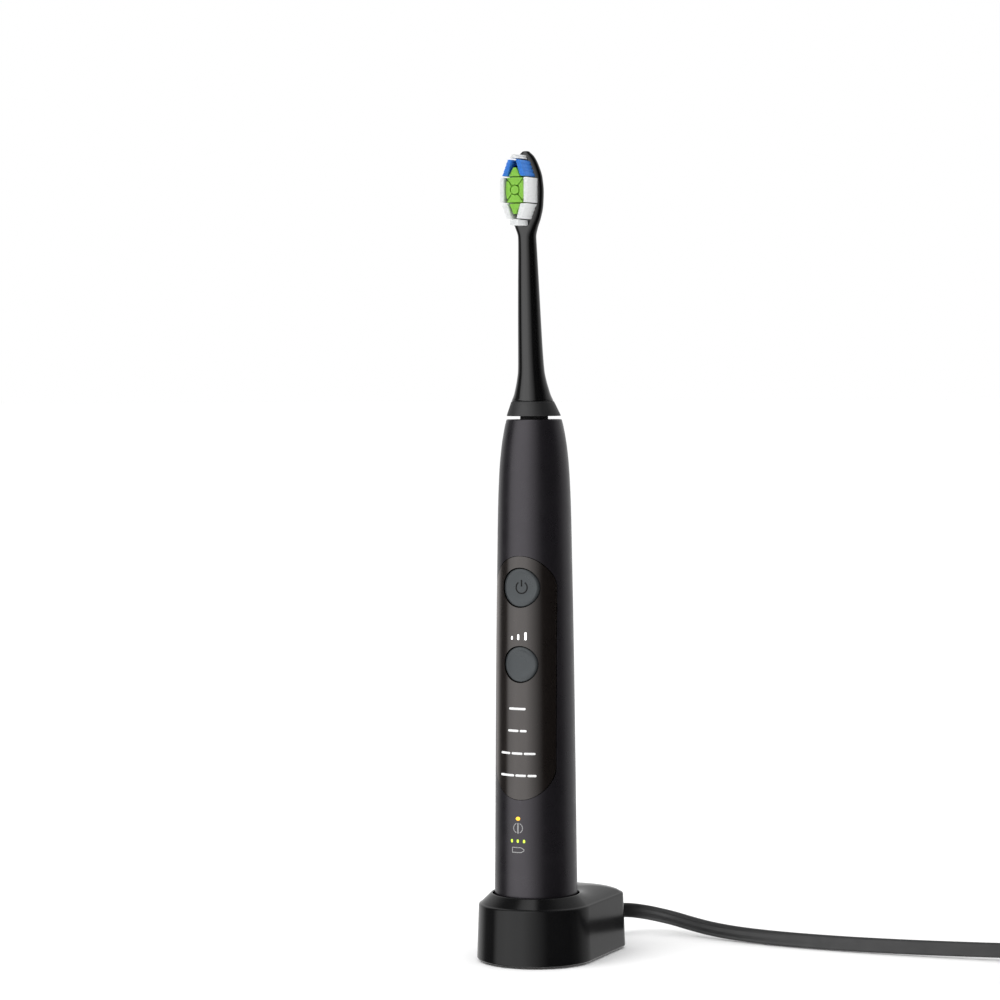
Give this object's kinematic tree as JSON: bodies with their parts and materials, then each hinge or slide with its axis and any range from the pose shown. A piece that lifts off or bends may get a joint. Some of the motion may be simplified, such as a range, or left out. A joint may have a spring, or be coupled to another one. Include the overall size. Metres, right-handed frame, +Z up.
{
  "type": "electric toothbrush on charger",
  "caption": "Slim sonic toothbrush standing on the post of its induction charger, with its flat lead coiled and tied beside it.",
  "frame": {"origin": "on the resting plane, on the axis of the handle", "axes": "+Z up along the handle, front with buttons and bristles towards -Y, lead leaves towards +Y"},
  "size_m": [0.2546, 0.0936, 0.2653],
  "materials": {
    "charger_black": "satin gloss black moulding",
    "base_plastic": "matt, moulded",
    "pad_rubber": "matt soft rubber",
    "ferrite": "matt pressed ferrite",
    "copper_winding": "enamelled copper wire",
    "circuit_board": "solder-masked board",
    "capacitor_can": "sleeved can",
    "lead_rubber": "satin flexible insulation",
    "plug_plastic": "satin moulding",
    "plug_pin_metal": "nickel plated",
    "tie_strap": "matt strap",
    "handle_plastic": "satin charcoal, fine texture",
    "panel_gloss": "gloss dark brown, faintly metallic",
    "button_grey": "satin blue-grey",
    "seal_rubber": "matt soft rubber",
    "cap_plastic": "satin",
    "chassis_plastic": "natural moulding",
    "battery_sleeve": "printed sleeve",
    "contact_metal": "plated spring strip",
    "switch_metal": "stamped",
    "light_guide_clear": "clear moulding",
    "motor_steel": "drawn steel",
    "bearing_bronze": "sintered bronze",
    "magnet_metal": "plated magnet",
    "shaft_steel": "ground steel",
    "brush_gloss": "gloss black moulding",
    "collar_matte": "matt dark grey ring",
    "insert_plastic": "natural moulding",
    "bristle_white": "nylon filaments",
    "bristle_blue": "nylon filaments",
    "bristle_green": "nylon filaments"
  },
  "bodies": {
    "charger": {"charger_shell": "charger_black", "charger_base_plate": "base_plastic", "front_pad": "pad_rubber", "rear_pad_left": "pad_rubber", "rear_pad_right": "pad_rubber", "ferrite_core": "ferrite", "primary_coil": "copper_winding", "charger_circuit_board": "circuit_board", "filter_capacitor": "capacitor_can", "strain_relief": "lead_rubber", "lead_cord": "lead_rubber", "lead_coil": "lead_rubber", "lead_tail": "lead_rubber", "cord_tie": "tie_strap", "plug_body": "plug_plastic", "plug_pin_left": "plug_pin_metal", "plug_pin_right": "plug_pin_metal"},
    "handle": {"handle_shell": "handle_plastic", "panel_overlay": "panel_gloss", "bottom_cap": "cap_plastic", "bottom_seal": "seal_rubber", "shaft_seal": "seal_rubber", "inner_chassis": "chassis_plastic", "battery_cell": "battery_sleeve", "battery_contact_lower": "contact_metal", "battery_contact_upper": "contact_metal", "main_circuit_board": "circuit_board", "power_switch": "switch_metal", "mode_switch": "switch_metal", "button_membrane": "seal_rubber", "intensity_light_guide": "light_guide_clear", "battery_light_guide": "light_guide_clear", "charging_coil": "copper_winding", "motor_frame": "motor_steel", "motor_lid": "motor_steel", "lower_bearing": "bearing_bronze", "upper_bearing": "bearing_bronze", "stator_coil": "copper_winding", "return_spring": "motor_steel"},
    "power_button": {"power_button": "button_grey"},
    "mode_button": {"mode_button": "button_grey"},
    "drive_shaft": {"drive_shaft": "shaft_steel", "rotor_core": "motor_steel", "rotor_magnet": "magnet_metal"},
    "brush_head": {"brush_shell": "brush_gloss", "collar_ring": "collar_matte", "coupling_insert": "insert_plastic", "tuft_centre": "bristle_green", "tuft_upper": "bristle_green", "tuft_lower": "bristle_green", "tuft_tip": "bristle_white", "tuft_heel": "bristle_white", "tuft_side_right": "bristle_white", "tuft_side_left": "bristle_white", "tuft_low_right": "bristle_white", "tuft_low_left": "bristle_white", "tuft_bar_right": "bristle_blue", "tuft_bar_left": "bristle_blue"}
  },
  "joints": [
    {"name": "handle_lift", "type": "slide", "parent": "charger", "child": "handle", "axis": [0, 0, 1], "range_m": [0, 0.06]},
    {"name": "power_press", "type": "slide", "parent": "handle", "child": "power_button", "axis": [0, 1, 0], "range_m": [0, 0.0005], "stiffness_N_per_m": 1500, "springref_m": -0.0005},
    {"name": "mode_press", "type": "slide", "parent": "handle", "child": "mode_button", "axis": [0, 1, 0], "range_m": [0, 0.0005], "stiffness_N_per_m": 1500, "springref_m": -0.0005},
    {"name": "shaft_swing", "type": "hinge", "parent": "handle", "child": "drive_shaft", "pos_m": [0, 0, 0.15], "axis": [0, 0, 1], "range_deg": [-5, 5], "stiffness_Nm_per_rad": 0.05},
    {"name": "head_pull", "type": "slide", "parent": "drive_shaft", "child": "brush_head", "axis": [0, 0, 1], "range_m": [0, 0.035]}
  ]
}
